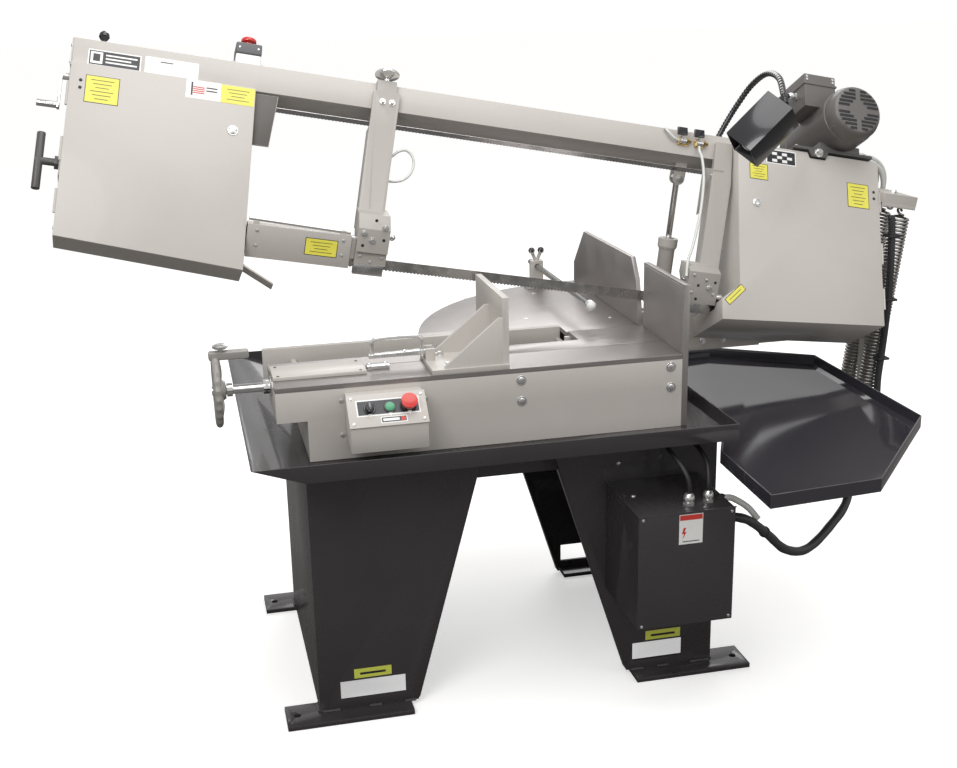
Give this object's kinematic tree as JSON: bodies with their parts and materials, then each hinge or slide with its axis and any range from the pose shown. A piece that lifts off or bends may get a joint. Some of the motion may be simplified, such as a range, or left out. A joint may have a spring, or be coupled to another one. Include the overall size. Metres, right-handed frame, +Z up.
{
  "type": "horizontal band saw",
  "caption": "Floor-standing horizontal metal-cutting band saw: canted swivelling saw head on a pivot, open wheel covers, blade guides, vise, chip pan, side tray and flared legs.",
  "frame": {"origin": "centre of the bounding box on the floor", "axes": "+X along the saw head towards the motor, +Y from the operator to the back, +Z up"},
  "size_m": [2.322, 1.348, 1.6436],
  "materials": {
    "paint_dark": "glossy charcoal enamel with light orange peel",
    "paint_grey": "warm light grey enamel, lightly textured",
    "paint_arm": "mid grey enamel",
    "table_steel": "ground steel",
    "chrome": "bright plated steel",
    "cast_dark": "dark grey painted castings",
    "spring_steel": "oiled spring wire",
    "black_plastic": "satin black plastic",
    "hose_black": "black braided sleeve",
    "hose_braid": "clear hose over steel braid",
    "red_plastic": "gloss red",
    "green_plastic": "gloss green"
  },
  "bodies": {
    "base": {"foot_front_left": "paint_dark", "foot_front_right": "paint_dark", "foot_rear_left": "paint_dark", "foot_rear_right": "paint_dark", "leg_left": "paint_dark", "leg_right": "paint_dark", "apron": "paint_dark", "chip_pan": "paint_dark", "chip_tray": "paint_dark", "electrical_box": "paint_dark", "electrical_cover": "paint_dark", "bed_frame": "paint_grey", "table_front_rail": "table_steel", "table_plate": "table_steel", "screw_cover": "paint_grey", "fixed_jaw": "table_steel", "quadrant_table": "table_steel", "rear_fence": "table_steel", "control_box": "paint_grey", "swivel_pin": "cast_dark", "stop_bracket": "paint_grey", "power_bundle": "hose_black"},
    "selector": {"selector_knob": "black_plastic"},
    "start": {"start_button": "green_plastic"},
    "stop": {"stop_button": "red_plastic"},
    "length_stop": {"stop_rod": "chrome"},
    "vise": {"moving_jaw": "paint_grey"},
    "vise_lever": {"release_lever": "chrome"},
    "vise_screw": {"lead_screw": "chrome", "handwheel": "cast_dark"},
    "swivel": {"swivel_arm": "paint_grey", "pivot_shaft": "chrome", "spring_front": "spring_steel", "spring_rear": "spring_steel"},
    "cylinder": {"cylinder_barrel": "paint_grey"},
    "piston": {"cylinder_rod": "chrome"},
    "head": {"beam": "paint_grey", "idler_housing": "paint_grey", "drive_housing": "paint_grey", "gearbox": "cast_dark", "belt_guard": "paint_grey", "motor": "cast_dark", "motor_plate": "cast_dark", "gooseneck": "hose_black", "guide_arm_right": "paint_arm", "estop_box": "black_plastic", "coolant_hose": "hose_braid", "blade": "table_steel"},
    "idler": {"idler_wheel": "cast_dark"},
    "driver": {"drive_wheel": "cast_dark"},
    "idler_door": {"idler_cover": "paint_grey"},
    "drive_door": {"drive_cover": "paint_grey"},
    "tension": {"tension_handle": "cast_dark"},
    "crank": {"crank_handle": "chrome"},
    "ball": {"ball_lever": "black_plastic"},
    "estop": {"estop_button": "red_plastic"},
    "guide": {"guide_arm_left": "paint_arm", "blade_guard": "paint_grey"},
    "guide_knob": {"arm_knob": "chrome"},
    "lamp": {"lamp_head": "black_plastic"}
  },
  "joints": [
    {"name": "swivel", "type": "hinge", "parent": "base", "child": "swivel", "pos_m": [0.32873, 0.069, 0.78], "axis": [0, 0, 1], "range_deg": [-45, 0]},
    {"name": "head_pivot", "type": "hinge", "parent": "swivel", "child": "head", "pos_m": [0.68473, 0.249, 0.88], "axis": [0, 1, 0], "range_deg": [-10.6, 14], "deforming": ["spring_front", "spring_rear"]},
    {"name": "cylinder_tilt", "type": "hinge", "parent": "swivel", "child": "cylinder", "pos_m": [0.45473, 0.31, 0.8], "axis": [0, 1, 0], "range_deg": [-8.5, 11]},
    {"name": "rod_slide", "type": "slide", "parent": "cylinder", "child": "piston", "axis": [0.1248, 0, 0.9922], "range_m": [-0.045, 0.056]},
    {"name": "idler_spin", "type": "hinge", "parent": "head", "child": "idler", "pos_m": [-0.87216, 0.1619, 1.33663], "axis": [-0.092, 0.866, -0.4915], "continuous": true},
    {"name": "drive_spin", "type": "hinge", "parent": "head", "child": "driver", "pos_m": [0.81161, 0.1619, 1.02152], "axis": [-0.092, 0.866, -0.4915], "continuous": true},
    {"name": "idler_cover_hinge", "type": "hinge", "parent": "head", "child": "idler_door", "pos_m": [-1.08191, 0.12686, 1.39552], "axis": [-0.1593, -0.5, -0.8512], "range_deg": [0, 100]},
    {"name": "drive_cover_hinge", "type": "hinge", "parent": "head", "child": "drive_door", "pos_m": [1.0309, 0.11531, 1.02453], "axis": [0.1593, 0.5, 0.8512], "range_deg": [0, 20]},
    {"name": "tension_turn", "type": "hinge", "parent": "head", "child": "tension", "pos_m": [-1.09873, 0.148, 1.35454], "axis": [0.9829, 0, -0.184], "continuous": true},
    {"name": "crank_turn", "type": "hinge", "parent": "head", "child": "crank", "pos_m": [-1.06365, 0.26966, 1.542], "axis": [0.9829, 0, -0.184], "continuous": true},
    {"name": "ball_lever_turn", "type": "hinge", "parent": "head", "child": "ball", "pos_m": [-0.97619, 0.32432, 1.60161], "axis": [0.9829, 0, -0.184], "range_deg": [0, 12]},
    {"name": "estop_press", "type": "slide", "parent": "head", "child": "estop", "axis": [-0.1593, -0.5, -0.8512], "range_m": [0, 0.0035], "stiffness_N_per_m": 900},
    {"name": "guide_slide", "type": "slide", "parent": "head", "child": "guide", "axis": [0.9829, 0, -0.184], "range_m": [0, 0.5]},
    {"name": "guide_knob_turn", "type": "hinge", "parent": "guide", "child": "guide_knob", "pos_m": [-0.29003, 0.28338, 1.50076], "axis": [0.1593, 0.5, 0.8512], "continuous": true},
    {"name": "lamp_tilt", "type": "hinge", "parent": "head", "child": "lamp", "pos_m": [0.642, -0.05, 1.4308], "axis": [0, 1, 0], "range_deg": [-15, 15]},
    {"name": "selector_turn", "type": "hinge", "parent": "base", "child": "selector", "pos_m": [-0.45347, -0.29075, 0.82435], "axis": [0, -0.7196, 0.6944], "range_deg": [-45, 45]},
    {"name": "start_press", "type": "slide", "parent": "base", "child": "start", "axis": [0, 0.7196, -0.6944], "range_m": [0, 0.003], "stiffness_N_per_m": 600},
    {"name": "stop_press", "type": "slide", "parent": "base", "child": "stop", "axis": [0, 0.7196, -0.6944], "range_m": [0, 0.006], "stiffness_N_per_m": 900},
    {"name": "length_stop_slide", "type": "slide", "parent": "base", "child": "length_stop", "axis": [0, 1, 0], "range_m": [-0.25, 0]},
    {"name": "vise_slide", "type": "slide", "parent": "base", "child": "vise", "axis": [1, 0, 0], "range_m": [-0.03, 0.425]},
    {"name": "vise_lever_lift", "type": "hinge", "parent": "vise", "child": "vise_lever", "pos_m": [-0.28227, -0.129, 0.904], "axis": [0, 1, 0], "range_deg": [0, 45]},
    {"name": "vise_screw_turn", "type": "hinge", "parent": "base", "child": "vise_screw", "pos_m": [-0.78127, -0.121, 0.848], "axis": [1, 0, 0], "continuous": true}
  ],
  "couplings": [
    {"joint": "cylinder_tilt", "follows": "head_pivot", "ratio": 0.74},
    {"joint": "rod_slide", "follows": "head_pivot", "m_per_rad": 0.2149},
    {"joint": "idler_spin", "follows": "drive_spin", "ratio": 1}
  ]
}
